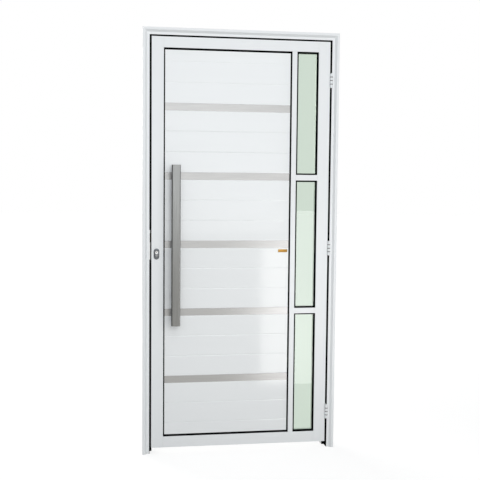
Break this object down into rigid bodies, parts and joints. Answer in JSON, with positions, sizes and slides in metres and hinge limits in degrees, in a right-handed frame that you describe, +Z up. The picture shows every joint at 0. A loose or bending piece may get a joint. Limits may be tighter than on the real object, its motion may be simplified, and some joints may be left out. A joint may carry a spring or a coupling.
{
  "type": "aluminium entrance door with frame and side glass strip",
  "caption": "White aluminium hinged entrance door in a rebated frame: boarded panel with brushed bands, side strip of green glass, long pull bar and roller lock.",
  "frame": {"origin": "On the hinge jamb's wall face, at floor level, halfway through the frame's depth.", "axes": "+X points out of the hinge jamb into the wall, -Y is the side that the leaf opens to, +Z is up."},
  "size_m": [0.98, 0.152, 2.106],
  "materials": {
    "white_powder_coat": "satin powder coat",
    "white_board_coat": "satin powder coat",
    "white_hinge_coat": "gloss powder coat",
    "brushed_aluminium": "brushed",
    "brushed_steel": "brushed lengthwise",
    "satin_nickel": "satin nickel",
    "plain_steel": "zinc plated",
    "green_glass": "clear float glass, green tint",
    "black_rubber": "matte",
    "black_nylon": "matte",
    "brown_nylon": "matte"
  },
  "bodies": {
    "frame": {"lock_jamb": "white_powder_coat", "hinge_jamb": "white_powder_coat", "frame_head": "white_powder_coat", "lock_side_trim": "white_powder_coat", "hinge_side_trim": "white_powder_coat", "head_trim": "white_powder_coat", "frame_stops": "white_powder_coat", "frame_seals": "black_rubber", "strike_plate": "plain_steel", "bottom_hinge_jamb_plate": "white_hinge_coat", "middle_hinge_jamb_plate": "white_hinge_coat", "top_hinge_jamb_plate": "white_hinge_coat", "hinge_pins": "white_hinge_coat", "hinge_washers": "black_nylon"},
    "leaf": {"lock_stile": "white_powder_coat", "hinge_stile": "white_powder_coat", "top_rail": "white_powder_coat", "bottom_rail": "white_powder_coat", "mullion": "white_powder_coat", "transoms": "white_powder_coat", "glazing_beads": "white_powder_coat", "boards_1": "white_board_coat", "boards_2": "white_board_coat", "boards_3": "white_board_coat", "boards_4": "white_board_coat", "boards_5": "white_board_coat", "boards_6": "white_board_coat", "band_1": "brushed_aluminium", "band_2": "brushed_aluminium", "band_3": "brushed_aluminium", "band_4": "brushed_aluminium", "band_5": "brushed_aluminium", "glass_pane_bottom": "green_glass", "glass_pane_middle": "green_glass", "glass_pane_top": "green_glass", "infill_gaskets": "black_rubber", "bottom_hinge_leaf_plate": "white_hinge_coat", "middle_hinge_leaf_plate": "white_hinge_coat", "top_hinge_leaf_plate": "white_hinge_coat", "pull_bar": "brushed_steel", "pull_bar_posts": "brushed_steel", "pull_bar_caps": "brushed_steel", "lock_escutcheons": "satin_nickel", "lock_cylinder": "satin_nickel", "lock_faceplate": "plain_steel", "latch_roller": "brown_nylon"}
  },
  "joints": [
    {"name": "leaf_swing", "type": "hinge", "parent": "frame", "child": "leaf", "pos_m": [-0.025, -0.05, 1.025], "axis": [0, 0, 1], "range_deg": [0, 170]}
  ]
}
